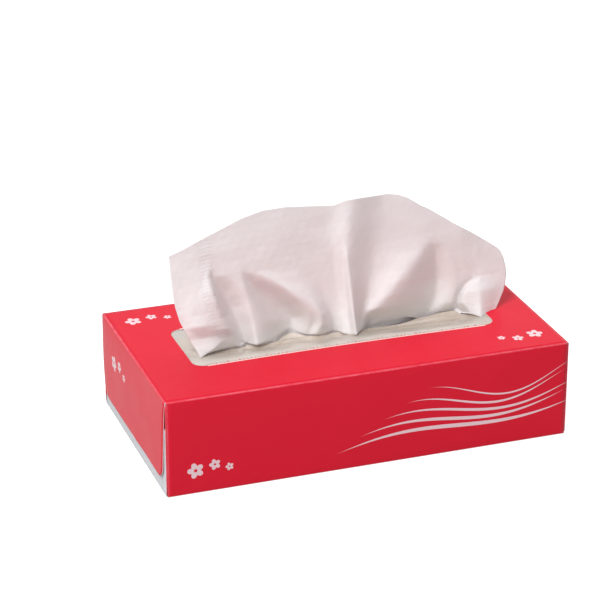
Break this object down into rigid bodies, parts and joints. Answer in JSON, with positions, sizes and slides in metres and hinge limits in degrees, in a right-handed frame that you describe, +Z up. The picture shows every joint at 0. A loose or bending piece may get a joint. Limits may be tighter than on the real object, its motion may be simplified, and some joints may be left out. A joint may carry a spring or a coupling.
{
  "type": "flat tissue box",
  "caption": "Flat cardboard box of pop-up facial tissues with a slit film window and one sheet standing out of it.",
  "frame": {"origin": "middle of the underside of the carton", "axes": "+X along the box's length, +Y from the front panel to the back panel, +Z up through the opening"},
  "size_m": [0.228, 0.122, 0.131],
  "materials": {
    "carton_board": "printed folding boxboard, crimson with a light gloss outside, unprinted off-white inside",
    "clear_film": "thin clear plastic film, glossy and slightly crinkled",
    "tissue_paper": "soft matt two-ply tissue paper"
  },
  "bodies": {
    "root": {"carton": "carton_board", "window_film": "clear_film", "tissue_stack": "tissue_paper", "raised_tissue": "tissue_paper"}
  },
  "joints": []
}
